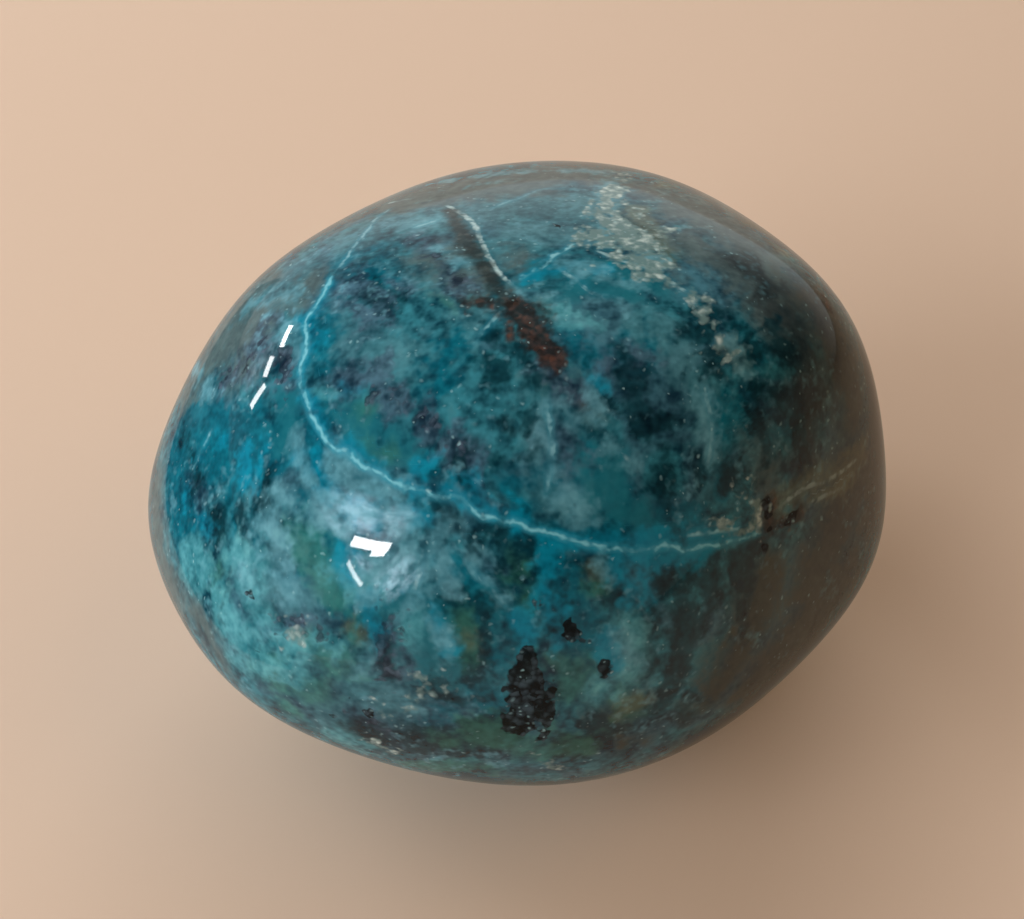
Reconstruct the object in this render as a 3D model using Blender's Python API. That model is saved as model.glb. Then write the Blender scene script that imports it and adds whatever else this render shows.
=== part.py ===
"""A tumbled chrysocolla: one polished stone, thumb-sized, lying on its flattest side.

The stone began as a many-sided broken lump, and tumbling wore its edges round. It is modelled the same way: each
worn face is given by the way it looks and by its distance from the lump's middle, and one rule blends the faces
into a closed surface. The underside is worn flat where the stone rests.

Frame: +X along the stone's length, +Y across it, +Z up. The origin is under the middle of the stone, on the
surface that it rests on. Units are metres; lengths named in MM are multiplied by it.
"""

import math

import bmesh
import bpy
from mathutils import Matrix, Vector, noise

MM = 0.001

# Driving dimensions of the stone.
ROUNDNESS = 7.0  # power of the blend between worn faces; a higher power leaves tighter edges
WAVE_HEIGHT = 0.06 * MM  # how far the long, soft waves of the polish stand in or out
WAVE_LENGTH = 7.0 * MM
FOOT_WEAR = 0.35 * MM  # how much of the underside is worn away to a flat foot
GLOBE_SUBDIVISIONS = 5  # of the icosphere that is blown up to the stone's surface: 5120 triangles

# The worn faces: name, compass angle from +X towards +Y, angle above the horizon, distance from the middle in mm.
WORN_FACES = (
    ("crown", 78, 83, 10.7),
    ("shoulder_right_front", -47, 28, 13.3),
    ("shoulder_front", -91, 46, 12.3),
    ("shoulder_left_front", -151, 44, 12.9),
    ("shoulder_left_back", 141, 15, 14.0),
    ("shoulder_back", 112, 61, 11.5),
    ("shoulder_right_back", 43, 46, 13.7),
    ("side_right", 12, 11, 14.8),
    ("side_right_front", -46, 9, 14.0),
    ("side_front", -92, -7, 13.8),
    ("side_left_front", -154, -26, 15.0),
    ("side_left", 154, 12, 15.0),
    ("side_left_back", 141, 6, 14.0),
    ("side_back", 84, -1, 13.5),
    ("side_right_back", 35, 2, 14.6),
    ("belly_right", -12, -56, 12.9),
    ("belly_front", -54, -49, 13.3),
    ("belly_left_front", -135, -54, 12.2),
    ("belly_left_back", 137, -52, 12.9),
    ("belly_back", 75, -44, 12.7),
    ("underside", 0, -90, 11.2),
)

# Finish.
STONE_COLOUR = (0.035, 0.135, 0.150, 1.0)
STONE_ROUGHNESS = 0.12


def clear_scene():
    for thing in list(bpy.data.objects):
        bpy.data.objects.remove(thing)


def polished_stone(name):
    """The material of the whole stone: deep teal with a polish."""
    material = bpy.data.materials.new(name)
    material.use_nodes = True
    shader = material.node_tree.nodes["Principled BSDF"]
    shader.inputs["Base Color"].default_value = STONE_COLOUR
    shader.inputs["Roughness"].default_value = STONE_ROUGHNESS
    shader.inputs["Metallic"].default_value = 0.0
    return material


def direction(compass_deg, rise_deg):
    """The unit vector at this compass angle from +X and this angle above the horizon."""
    compass, rise = math.radians(compass_deg), math.radians(rise_deg)
    level = math.cos(rise)
    return Vector((level * math.cos(compass), level * math.sin(compass), math.sin(rise)))


def surface_radius(way, faces):
    """How far the surface lies from the middle along the unit vector way.

    A flat face with normal n at distance d meets the ray at d / (way . n). The power sum is a smooth minimum of those
    distances over every face that the ray runs towards, which rounds the edges between them.
    """
    reach = 0.0
    for normal, distance in faces:
        facing = way.dot(normal)
        if facing > 0.0:
            reach += (facing / distance) ** ROUNDNESS
    radius = reach ** (-1.0 / ROUNDNESS)
    return radius + WAVE_HEIGHT * noise.noise(way * (radius / WAVE_LENGTH))


def blow_up_to_surface(mesh):
    """Moves each vertex of a unit globe out along its own direction to the stone's surface."""
    faces = [(direction(compass, rise), distance * MM) for _, compass, rise, distance in WORN_FACES]
    for vertex in mesh.verts:
        way = vertex.co.normalized()
        vertex.co = way * surface_radius(way, faces)


def wear_foot(mesh):
    """Cuts the underside off level and closes it with the flat foot that the stone rests on."""
    lowest = min(vertex.co.z for vertex in mesh.verts)
    cut = bmesh.ops.bisect_plane(
        mesh,
        geom=mesh.verts[:] + mesh.edges[:] + mesh.faces[:],
        plane_co=(0.0, 0.0, lowest + FOOT_WEAR),
        plane_no=(0.0, 0.0, -1.0),
        clear_outer=True,
    )
    rim = [part for part in cut["geom_cut"] if isinstance(part, bmesh.types.BMEdge)]
    bmesh.ops.contextual_create(mesh, geom=rim)


def stand_on_origin(mesh):
    """Shifts the mesh so that the origin is under the middle of its box, at the height of the foot."""
    low = Vector(min(vertex.co[axis] for vertex in mesh.verts) for axis in range(3))
    high = Vector(max(vertex.co[axis] for vertex in mesh.verts) for axis in range(3))
    under_middle = Vector(((low.x + high.x) / 2, (low.y + high.y) / 2, low.z))
    bmesh.ops.transform(mesh, matrix=Matrix.Translation(-under_middle), verts=mesh.verts)


def make_stone():
    mesh = bmesh.new()
    bmesh.ops.create_icosphere(mesh, subdivisions=GLOBE_SUBDIVISIONS, radius=1.0)
    blow_up_to_surface(mesh)
    wear_foot(mesh)
    stand_on_origin(mesh)
    bmesh.ops.triangulate(mesh, faces=mesh.faces[:])
    bmesh.ops.recalc_face_normals(mesh, faces=mesh.faces[:])
    data = bpy.data.meshes.new("stone")
    mesh.to_mesh(data)
    mesh.free()
    data.shade_smooth()
    data.set_sharp_from_angle(angle=math.radians(25))
    data.materials.append(polished_stone("polished_chrysocolla"))
    stone = bpy.data.objects.new("stone", data)
    bpy.context.scene.collection.objects.link(stone)
    return stone


clear_scene()
make_stone()
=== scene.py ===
"""A tumbled chrysocolla: one polished pebble, with the look of its minerals, veins and polish.

The pebble's skin is a fine mesh of the same worn faces as the solid under it. Every mineral is laid on by
strokes. A stroke is a route over the skin and a reach in millimetres, and each vertex keeps how deep inside
each mineral it lies. For the veins it keeps how far across the nearest one it lies. The shader frays those
edges with noise and colours them. Lengths are in millimetres where a name or a comment says so, and in metres
elsewhere.
"""

import math
from typing import NamedTuple

import bmesh
import bpy
import numpy as np
from mathutils import Matrix, Vector, noise
from mathutils.bvhtree import BVHTree


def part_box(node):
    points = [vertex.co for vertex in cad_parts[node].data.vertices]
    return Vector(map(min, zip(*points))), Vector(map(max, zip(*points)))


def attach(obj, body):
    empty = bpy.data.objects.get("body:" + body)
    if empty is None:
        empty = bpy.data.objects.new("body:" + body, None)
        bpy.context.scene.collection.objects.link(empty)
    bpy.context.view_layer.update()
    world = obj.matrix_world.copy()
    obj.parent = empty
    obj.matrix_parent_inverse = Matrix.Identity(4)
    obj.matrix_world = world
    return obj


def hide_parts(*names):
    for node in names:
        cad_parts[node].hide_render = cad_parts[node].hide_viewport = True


bl_info = {
    "name": "Tumbled chrysocolla",
    "version": (1, 0, 0),
    "blender": (4, 5, 0),
    "location": "3D View > Sidebar > Stone",
    "description": "Builds a polished chrysocolla pebble with its minerals and veins, and a plain stage",
    "category": "Object",
}

MM = 0.001
NODE = "stone"

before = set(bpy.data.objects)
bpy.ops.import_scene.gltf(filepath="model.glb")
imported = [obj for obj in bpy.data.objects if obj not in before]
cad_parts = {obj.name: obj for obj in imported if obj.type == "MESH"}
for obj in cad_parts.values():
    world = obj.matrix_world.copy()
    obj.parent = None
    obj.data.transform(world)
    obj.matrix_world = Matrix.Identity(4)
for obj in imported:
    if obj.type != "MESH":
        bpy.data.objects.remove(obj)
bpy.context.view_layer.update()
STONE_LOW, STONE_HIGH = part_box(NODE)
AIM = Vector((0.0, 0.0, 0.012))  # what the lamps look at: about the middle of the stone

# --------------------------------------------------------------------------------------------------
# Shape

# The worn faces: name, compass angle from +X towards +Y, angle above the horizon, distance from the middle in
# mm. The numbers are a rounded least-squares fit to the stone's outline and to the slope near its left rim.
# Only the direction of the underside was given.
WORN_FACES = (
    ("crown", 78, 83, 10.7),
    ("shoulder_right_front", -47, 28, 13.3),
    ("shoulder_front", -91, 46, 12.3),
    ("shoulder_left_front", -151, 44, 12.9),
    ("shoulder_left_back", 141, 15, 14.0),
    ("shoulder_back", 112, 61, 11.5),
    ("shoulder_right_back", 43, 46, 13.7),
    ("side_right", 12, 11, 14.8),
    ("side_right_front", -46, 9, 14.0),
    ("side_front", -92, -7, 13.8),
    ("side_left_front", -154, -26, 15.0),
    ("side_left", 154, 12, 15.0),
    ("side_left_back", 141, 6, 14.0),
    ("side_back", 84, -1, 13.5),
    ("side_right_back", 35, 2, 14.6),
    ("belly_right", -12, -56, 12.9),
    ("belly_front", -54, -49, 13.3),
    ("belly_left_front", -135, -54, 12.2),
    ("belly_left_back", 137, -52, 12.9),
    ("belly_back", 75, -44, 12.7),
    ("underside", 0, -90, 11.2),
)

# --------------------------------------------------------------------------------------------------
# View: the pebble from the front, looking down. Picture places are pixels of a frame 1024 wide and 919 high.

PICTURE_WIDTH, PICTURE_HEIGHT = 1024, 919
SENSOR_MM = 36.0

# --------------------------------------------------------------------------------------------------
# Minerals, in the order in which they are laid on. Some of their strokes also paint reflection and shade.


class Mineral(NamedTuple):
    """How one mineral ends, and how it takes the polish."""

    name: str
    cover: float  # how much of what lies under it this mineral hides, from 0 to 1
    softness_mm: float  # width of its fading edge
    fray_mm: float  # how far its edge wanders
    grain: float  # how strong the grain is in it, 1 as in the ground
    dullness: float = 0.0  # 0 takes the full polish, 1 none


DEEP_MINERALS = (
    # Grey-teal haze; its strokes along the rims are also a painted reflection
    Mineral("haze", 0.70, 1.60, 0.50, 0.6),
    # Grey quartz; its strokes along the rims are also a painted reflection
    Mineral("grey_quartz", 0.85, 1.60, 0.40, 0.3),
    # Brown; on the right side and the bottom edge it is also a painted reflection of the shaded floor
    Mineral("flank", 0.90, 2.00, 0.50, 0.4),
    # Smoky grey; on the right side it is also painted shade
    Mineral("smoke", 0.85, 1.20, 0.40, 0.5),
    Mineral("sea", 0.85, 1.00, 0.50, 0.65),
    Mineral("clear_teal", 0.85, 0.90, 0.25, 0.3),
    Mineral("violet", 0.75, 0.90, 0.50, 1.2),
    # Almost black teal; its strokes on the right side, along the bottom and one near the left edge are also
    # painted shade
    Mineral("shade", 0.85, 0.80, 0.45, 0.8),
    Mineral("moss", 0.50, 0.90, 0.35, 0.6),
    Mineral("ochre", 0.55, 0.80, 0.30, 0.6),
    Mineral("turquoise", 0.75, 0.80, 0.35, 0.9),
    Mineral("cyan", 0.75, 0.70, 0.30, 0.8),
    # Milky quartz; its strokes around the window glint are also a painted reflection of the sky
    Mineral("milky", 0.65, 0.70, 0.30, 0.7),
)
SURFACE_MINERALS = (
    Mineral("umber", 0.85, 0.50, 0.16, 1.2, 0.1),
    Mineral("rust", 0.88, 0.60, 0.22, 1.4, 0.2),
    Mineral("plum", 0.78, 0.40, 0.50, 2.2, 0.1),
    Mineral("oxide", 0.96, 0.12, 0.20, 2.6, 0.5),
    Mineral("crust", 0.88, 0.60, 0.55, 1.2, 0.1),
)
MINERALS = DEEP_MINERALS + SURFACE_MINERALS

# Strokes on the side that faces the camera. Each is its reach in mm and its route in picture places.
SEEN_STROKES = {
    # Grey-teal haze. The strokes along the rims are also a painted reflection
    "haze": (
        (1.5, (470, 215), (530, 205), (590, 205)),
        (1.1, (500, 250), (520, 235), (560, 235)),
        (0.7, (350, 240), (385, 222), (430, 225)),
        (1.0, (225, 330), (255, 295), (290, 268)),
        (0.8, (430, 265), (455, 290), (470, 320)),
        (0.8, (340, 330), (370, 350), (400, 360)),
        (0.9, (265, 500), (285, 540), (300, 580)),
        (0.9, (255, 560), (290, 600), (320, 590)),
        (0.4, (410, 600), (430, 640), (415, 670)),
        (0.5, (440, 255), (480, 262)),
        (0.6, (515, 250), (525, 262)),
        (0.7, (230, 690), (290, 735), (350, 765)),
        (0.9, (380, 690), (395, 705), (360, 690)),
        (0.5, (530, 400), (540, 440), (535, 480)),
        (0.8, (560, 490), (590, 500), (580, 520)),
        (0.8, (650, 330), (680, 360), (700, 395)),
        (0.3, (590, 660), (610, 690), (640, 680)),
        (0.7, (320, 700), (340, 730), (320, 720)),
    ),
    # Grey quartz. The strokes along the rims are also a painted reflection
    "grey_quartz": (
        (1.6, (400, 185), (440, 172), (520, 162), (600, 165)),
        (0.8, (156, 480), (158, 530), (175, 600)),
        (0.7, (180, 612), (215, 670), (260, 720)),
        (1.3, (680, 205), (740, 240), (780, 290)),
        (0.8, (200, 360), (225, 325), (260, 290)),
        (0.5, (152, 500), (156, 450), (172, 410)),
        (1.0, (690, 245), (740, 275), (770, 320)),
        (0.6, (755, 425), (765, 450), (770, 480)),
        (0.5, (175, 590), (205, 625), (215, 650)),
        (0.8, (600, 180), (650, 190), (700, 215)),
        (1.0, (190, 385), (215, 350), (250, 330)),
        (0.6, (245, 360), (225, 385)),
        (0.9, (250, 325), (285, 300), (312, 285)),
        (0.8, (190, 370), (198, 412)),
        (0.6, (250, 288), (300, 246), (360, 206)),
        (0.5, (235, 345), (245, 350)),
        (0.4, (430, 250), (445, 268)),
        (0.4, (512, 255), (520, 270)),
        (1.0, (435, 258), (470, 274)),
        (0.7, (255, 312), (300, 300)),
        (0.8, (700, 195), (760, 222), (808, 262)),
        (0.3, (650, 250), (675, 275)),
    ),
    # Brown. The strokes on the right side and along the bottom edge are also a painted reflection of the
    # shaded floor
    "flank": (
        (1.5, (872, 380), (876, 450), (872, 510)),
        (1.7, (820, 570), (840, 520), (855, 470)),
        (1.8, (840, 580), (800, 640), (760, 680)),
        (1.2, (760, 690), (700, 740), (640, 770)),
        (1.2, (815, 300), (845, 360), (855, 420)),
        (1.0, (765, 580), (745, 640), (715, 690)),
        (0.4, (600, 778), (520, 784), (450, 778)),
        (0.5, (605, 715), (625, 745)),
        (0.1, (552, 372), (575, 395), (590, 412)),
    ),
    # Smoky grey. These strokes on the right side are also painted shade
    "smoke": (
        (0.8, (770, 300), (800, 340), (812, 400)),
        (0.6, (740, 262), (775, 290)),
        (0.5, (822, 320), (838, 370)),
        (0.5, (806, 420), (806, 460)),
    ),
    "clear_teal": (
        (0.55, (345, 400), (380, 430), (410, 455)),
        (0.50, (330, 395), (350, 430), (385, 460)),
        (0.75, (545, 272), (590, 266), (625, 276)),
        (0.65, (570, 285), (620, 288), (648, 283)),
        (0.90, (398, 600), (440, 612), (440, 665)),
        (0.60, (355, 595), (375, 610)),
        (0.60, (610, 465), (600, 500), (640, 515)),
        (0.50, (500, 600), (495, 640)),
        (0.70, (290, 400), (285, 440)),
    ),
    "sea": (
        (1.5, (205, 425), (235, 460), (265, 440)),
        (0.9, (180, 450), (176, 500), (186, 530)),
        (0.7, (250, 470), (300, 450), (315, 470)),
        (0.6, (305, 500), (325, 550), (345, 580)),
        (0.35, (350, 262), (368, 253), (386, 247)),
        (0.30, (346, 272), (344, 262)),
        (0.50, (362, 270), (388, 278)),
        (0.50, (290, 430), (300, 450)),
        (0.45, (318, 322), (330, 335)),
        (0.50, (320, 350), (322, 368)),
        (0.40, (325, 390), (330, 410)),
        (0.55, (345, 600), (352, 612)),
        (0.85, (462, 575), (470, 600), (500, 610), (520, 630)),
        (0.50, (590, 650), (610, 665), (640, 620)),
        (0.60, (500, 635), (500, 660), (480, 650)),
        (0.60, (478, 606), (490, 636)),
        (0.50, (600, 585), (640, 600)),
        (0.40, (655, 700), (690, 690)),
        (0.25, (245, 500), (255, 545)),
        (0.30, (285, 540), (290, 580)),
        (0.35, (725, 460), (735, 480)),
        (0.70, (475, 690), (505, 722)),
        (0.40, (340, 540), (360, 560)),
        (0.40, (235, 495), (240, 540)),
        (0.50, (740, 405), (765, 440), (800, 430)),
        (0.65, (545, 545), (560, 590), (556, 620)),
        (0.50, (505, 490), (525, 505)),
        (0.60, (575, 580), (590, 620)),
        (0.60, (515, 592), (560, 592), (600, 590)),
        (0.70, (600, 525), (640, 530), (690, 520)),
        (0.50, (650, 530), (700, 525)),
        (0.70, (590, 460), (600, 500), (560, 480)),
        (0.60, (610, 580), (630, 600)),
        (0.50, (745, 395), (760, 415)),
        (0.45, (722, 400), (722, 450), (722, 500)),
        (0.40, (735, 325), (750, 342), (762, 360)),
        (0.50, (480, 495), (460, 480), (430, 470)),
        (0.45, (440, 380), (445, 350), (460, 345)),
        (0.50, (580, 340), (610, 350), (640, 340)),
        (0.50, (460, 700), (430, 720)),
    ),
    "violet": (
        (0.40, (255, 350), (238, 368), (224, 380)),
        (0.35, (288, 362), (283, 378)),
        (0.40, (270, 320), (262, 345)),
        (0.7, (355, 285), (385, 300), (370, 315)),
        (0.5, (385, 392), (405, 405), (425, 420)),
        (0.5, (430, 430), (450, 445), (475, 455)),
        (0.6, (350, 380), (375, 375)),
        (0.35, (420, 240), (440, 260), (460, 285)),
        (0.45, (560, 430), (566, 460)),
        (0.35, (386, 632), (388, 655), (392, 672)),
        (0.35, (287, 622), (305, 625), (323, 626)),
        (0.30, (337, 600), (335, 612)),
        (0.6, (550, 370), (570, 390)),
        (0.5, (610, 365), (640, 368)),
        (0.35, (360, 720), (385, 735)),
        (0.25, (286, 360), (284, 384)),
    ),
    # Almost black teal. The strokes on the right side, along the bottom and one near the left edge are also
    # painted shade
    "shade": (
        (0.45, (494, 335), (492, 355), (500, 375)),
        (0.35, (520, 350), (535, 378)),
        (0.30, (482, 610), (480, 640)),
        (0.50, (512, 545), (522, 585)),
        (0.30, (530, 425), (532, 445)),
        (0.30, (600, 408), (600, 430)),
        (0.50, (525, 530), (530, 560)),
        (0.45, (720, 455), (735, 480)),
        (0.35, (275, 535), (282, 560)),
        (0.35, (595, 575), (612, 600)),
        (0.35, (600, 340), (625, 352)),
        (0.35, (440, 505), (450, 520)),
        (0.30, (600, 575), (605, 600)),
        (0.25, (600, 340), (620, 350)),
        (0.40, (680, 700), (690, 715)),
        (0.30, (757, 410), (762, 450)),
        (0.25, (190, 440), (198, 480)),
        (0.35, (508, 425), (512, 440)),
        (0.35, (478, 447), (492, 455)),
        (0.40, (452, 462), (468, 480)),
        (0.30, (372, 290), (392, 302)),
        (0.40, (625, 378), (640, 405), (640, 430)),
        (0.35, (640, 432), (665, 425)),
        (0.35, (668, 447), (664, 480)),
        (0.30, (668, 470), (668, 490)),
        (0.30, (690, 455), (700, 480)),
        (0.45, (698, 320), (703, 345), (712, 370)),
        (0.30, (720, 312), (735, 330), (755, 355)),
        (0.30, (755, 390), (757, 398)),
        (0.50, (776, 335), (785, 352), (795, 375)),
        (0.40, (780, 385), (784, 405)),
        (0.45, (797, 405), (803, 425), (800, 440)),
        (0.35, (806, 455), (803, 475)),
        (0.40, (470, 532), (478, 550)),
        (0.60, (500, 528), (512, 545), (522, 540)),
        (0.50, (497, 570), (505, 592)),
        (0.35, (548, 595), (552, 625)),
        (0.20, (388, 622), (384, 650), (391, 676)),
        (0.32, (650, 558), (690, 556), (720, 553)),
        (0.80, (670, 570), (705, 580), (712, 595)),
        (0.25, (608, 555), (606, 582)),
        (0.35, (648, 600), (652, 640)),
        (0.45, (215, 512), (222, 530), (218, 545)),
        (0.35, (242, 505), (245, 535)),
        (0.30, (278, 595), (282, 610)),
        (0.55, (462, 600), (470, 640), (476, 680)),
        (0.45, (440, 690), (460, 700)),
        (1.00, (420, 740), (460, 745), (490, 730)),
        (0.60, (365, 730), (395, 745)),
        (0.8, (690, 610), (685, 650), (660, 700)),
        (0.9, (600, 730), (570, 750)),
        (0.30, (742, 595), (740, 625)),
        (0.30, (745, 540), (765, 546)),
        (0.6, (735, 560), (745, 590)),
        (0.30, (258, 475), (263, 500)),
    ),
    "moss": (
        (0.40, (212, 580), (222, 572), (218, 590)),
        (0.55, (318, 652), (330, 658), (345, 665)),
        (0.40, (350, 625), (360, 638)),
        (0.70, (270, 670), (300, 685), (320, 690)),
        (0.35, (284, 707), (292, 710)),
        (0.60, (555, 662), (575, 670), (568, 690)),
        (0.35, (518, 568), (525, 598)),
        (0.22, (597, 570), (597, 592)),
        (0.10, (440, 300), (458, 307)),
        (0.30, (380, 450), (392, 455)),
        (0.15, (355, 405), (370, 410)),
        (0.40, (620, 695), (630, 712)),
        (0.22, (548, 722), (552, 732)),
        (0.70, (480, 730), (530, 750), (580, 745)),
        (0.30, (440, 735), (446, 742)),
        (0.60, (420, 765), (480, 768)),
        (0.30, (460, 620), (472, 655)),
        (0.45, (300, 520), (318, 560), (338, 604)),
    ),
    "ochre": (
        (0.60, (634, 210), (645, 228), (650, 246)),
        (0.35, (660, 184), (674, 182)),
        (0.30, (752, 225), (765, 232)),
        (0.35, (773, 245), (783, 252)),
        (0.30, (665, 252), (668, 260)),
        (0.22, (353, 628), (362, 636)),
        (0.50, (775, 512), (800, 490), (830, 476), (862, 452)),
        (0.35, (792, 506), (820, 494), (850, 480)),
        (0.30, (730, 352), (738, 362)),
        (0.15, (470, 636), (474, 645)),
        (0.25, (595, 565), (596, 575)),
        (0.30, (625, 700), (632, 708)),
    ),
    "turquoise": (
        (0.60, (190, 553), (200, 562), (205, 575)),
        (0.50, (215, 592), (226, 615)),
        (0.45, (250, 655), (270, 670)),
        (0.35, (186, 570), (192, 580)),
        (0.50, (236, 552), (243, 570), (252, 585)),
        (0.35, (225, 550), (232, 560)),
        (0.30, (256, 560), (262, 585)),
        (0.60, (230, 620), (245, 635), (240, 655)),
        (0.45, (262, 620), (255, 640)),
        (0.50, (280, 645), (305, 650)),
        (0.50, (265, 665), (290, 672)),
        (0.30, (318, 637), (330, 646)),
        (0.45, (300, 655), (296, 668)),
        (0.40, (335, 735), (365, 748)),
        (0.50, (628, 626), (634, 640)),
        (0.35, (614, 645), (622, 668)),
        (0.30, (600, 685), (612, 695)),
        (0.22, (560, 779), (566, 778)),
        (0.30, (410, 620), (405, 640)),
        (0.30, (545, 305), (575, 315), (600, 325)),
        (0.35, (330, 572), (372, 586)),
        (0.30, (238, 572), (252, 602)),
        (0.10, (370, 600), (400, 620), (400, 665)),
        (0.15, (310, 385), (350, 395)),
    ),
    "cyan": (
        (0.22, (308, 322), (318, 337)),
        (0.20, (303, 382), (313, 412), (325, 432), (338, 446)),
        (0.14, (350, 457), (370, 470), (390, 480)),
        (0.22, (418, 482), (414, 472), (428, 462)),
        (0.30, (640, 540), (680, 540), (715, 538)),
        (0.40, (630, 548), (660, 548), (690, 548)),
        (0.14, (400, 486), (430, 492), (450, 495)),
        (0.26, (475, 503), (490, 510), (512, 514), (530, 524)),
        (0.22, (555, 536), (580, 542), (610, 540)),
        (0.32, (600, 535), (640, 540)),
        (0.30, (612, 562), (640, 600)),
        (0.22, (640, 545), (660, 546)),
        (0.18, (265, 448), (258, 468), (252, 482)),
        (0.14, (220, 443), (228, 438)),
        (0.26, (319, 458), (319, 474)),
        (0.24, (345, 558), (349, 576)),
        (0.35, (552, 543), (548, 570)),
        (0.30, (622, 572), (634, 590), (628, 600)),
        (0.24, (598, 382), (606, 388)),
        (0.25, (532, 278), (552, 266)),
        (0.35, (512, 618), (525, 632)),
        (0.25, (190, 475), (186, 500)),
        (0.30, (360, 500), (352, 510)),
        (0.25, (340, 385), (350, 392)),
        # This stroke is a painted reflection of blue sky beside the window glint
        (0.30, (404, 512), (430, 520)),
        (0.30, (245, 452), (250, 476)),
        (0.25, (548, 600), (560, 645)),
        (0.28, (300, 455), (330, 490)),
        (0.25, (375, 520), (385, 500)),
        (0.25, (370, 600), (376, 640)),
        (0.30, (478, 500), (470, 480)),
        (0.25, (540, 275), (575, 264), (610, 272)),
        (0.25, (640, 570), (650, 600)),
        (0.25, (605, 640), (615, 660)),
        (0.48, (600, 548), (640, 556), (690, 553)),
        (0.25, (200, 515), (210, 530)),
        (0.30, (545, 590), (560, 612)),
        (0.12, (396, 585), (430, 600), (450, 650)),
    ),
    # Milky quartz. The strokes around the window glint are also a painted reflection of the sky
    "milky": (
        (0.30, (450, 522), (440, 540), (425, 560), (414, 590), (407, 612)),
        (0.35, (270, 520), (285, 560), (290, 600)),
        (0.30, (296, 440), (300, 465), (312, 482)),
        (0.60, (335, 468), (352, 480), (385, 490)),
        (0.40, (330, 492), (350, 512), (385, 512), (405, 525)),
        (0.50, (385, 564), (400, 570), (412, 560)),
        (0.45, (570, 500), (582, 515)),
        (0.14, (390, 575), (430, 595), (442, 640)),
        (0.15, (240, 570), (245, 590)),
        (0.10, (318, 580), (325, 620)),
        (0.20, (356, 572), (364, 600)),
        (0.12, (366, 648), (362, 668)),
        (0.28, (318, 497), (322, 545)),
        (0.15, (270, 310), (300, 295)),
        (0.10, (194, 365), (204, 395)),
        (0.22, (562, 266), (600, 276), (640, 286)),
        (0.50, (612, 182), (606, 215), (600, 240)),
        (0.50, (615, 222), (635, 248), (652, 262)),
        (0.25, (728, 340), (742, 372)),
        (0.30, (322, 505), (345, 530)),
        (0.35, (440, 545), (448, 590)),
        (0.30, (400, 700), (420, 712)),
        (0.30, (285, 335), (300, 350)),
        (0.30, (515, 292), (530, 300)),
        (0.20, (595, 300), (615, 305)),
        (0.30, (250, 305), (290, 290)),
        (0.30, (440, 182), (520, 172), (600, 172)),
        (0.20, (560, 408), (575, 425)),
        (0.30, (425, 610), (440, 650)),
        (0.25, (436, 250), (470, 268)),
        (0.30, (560, 262), (600, 268)),
        (0.30, (195, 368), (212, 392)),
        (0.20, (240, 575), (250, 590)),
        (0.10, (560, 186), (600, 196), (640, 190)),
        (0.05, (470, 186), (520, 180)),
        (0.10, (255, 625), (270, 632)),
        (0.22, (540, 400), (551, 445), (552, 470)),
        (0.16, (600, 548), (603, 575)),
        (0.28, (268, 488), (290, 498), (300, 512)),
        (0.25, (263, 522), (270, 534)),
        (0.28, (385, 225), (425, 225), (440, 218)),
        (0.22, (478, 560), (470, 568)),
        (0.16, (480, 580), (500, 598)),
        (0.20, (385, 262), (392, 270)),
        (0.18, (616, 452), (620, 460), (635, 467)),
        (0.10, (590, 380), (596, 400), (590, 420)),
        (0.30, (620, 640), (630, 655)),
        (0.25, (700, 390), (708, 420), (710, 460)),
    ),
    "umber": (
        (0.28, (450, 210), (458, 222)),
        (0.42, (456, 224), (468, 242), (478, 258)),
        (0.34, (480, 262), (492, 280), (502, 294)),
        (0.24, (498, 300), (512, 302)),
    ),
    "rust": (
        (0.75, (523, 312), (530, 324)),
        (0.66, (531, 326), (540, 338)),
        (0.58, (546, 346), (555, 357)),
        (0.24, (472, 302), (490, 304)),
        (0.34, (767, 505), (769, 516), (771, 528)),
        (0.34, (797, 512), (788, 523), (782, 524)),
        (0.06, (820, 293), (826, 303), (836, 320)),
    ),
    "oxide": (
        (0.12, (528, 648), (528, 656)),
        (0.40, (528, 664), (528, 670)),
        (0.72, (528, 682), (531, 712)),
        (0.62, (524, 714), (538, 712)),
        (0.40, (516, 724), (528, 724)),
        (0.14, (543, 726), (546, 746)),
        (0.20, (546, 680), (553, 704)),
        (0.42, (569, 630), (572, 633)),
        (0.16, (579, 636), (583, 642)),
        (0.10, (602, 668), (605, 673)),
        (0.00, (540, 603), (541, 605)),
        (0.09, (346, 696), (350, 698)),
        (0.10, (328, 715), (333, 717)),
        (0.12, (364, 711), (368, 715)),
        (0.09, (558, 225), (561, 229)),
        (0.09, (622, 248), (624, 252)),
        (0.14, (757, 543), (765, 547)),
        (0.04, (449, 696), (454, 699)),
        (0.04, (315, 666), (317, 668)),
        (0.05, (258, 650), (261, 652)),
        (0.01, (245, 593), (247, 594)),
        (0.01, (253, 598), (255, 600)),
        (0.18, (766, 505), (770, 530)),
        (0.16, (776, 527), (788, 523), (798, 512)),
    ),
    "plum": (
        (0.30, (391, 618), (386, 640), (389, 655), (394, 676)),
        (0.16, (284, 622), (302, 624), (318, 628)),
        (0.06, (258, 348), (238, 368), (226, 380)),
        (0.10, (352, 716), (372, 722), (388, 734)),
        (0.12, (286, 360), (282, 382)),
        (0.02, (376, 392), (396, 402), (418, 416)),
        (0.02, (430, 428), (452, 444), (474, 456)),
        (0.02, (420, 238), (440, 256), (458, 280)),
    ),
    "crust": (
        (0.24, (625, 178), (614, 190), (604, 202)),
        (0.70, (608, 205), (604, 225), (597, 238)),
        (0.75, (612, 218), (622, 236), (636, 250)),
        (0.55, (624, 256), (640, 260), (658, 273)),
        (0.24, (660, 276), (680, 288), (700, 297)),
        (0.12, (704, 315), (709, 330)),
        (0.10, (722, 350), (728, 362)),
        (0.12, (667, 232), (668, 244)),
        (0.14, (722, 530), (740, 533), (757, 526)),
        (0.26, (428, 692), (415, 704), (404, 709)),
        (0.02, (282, 632), (290, 636), (304, 634), (314, 632)),
        (0.12, (750, 490), (757, 510)),
        (0.06, (372, 740), (380, 746)),
        (0.10, (535, 755), (548, 765)),
    ),
}

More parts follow.
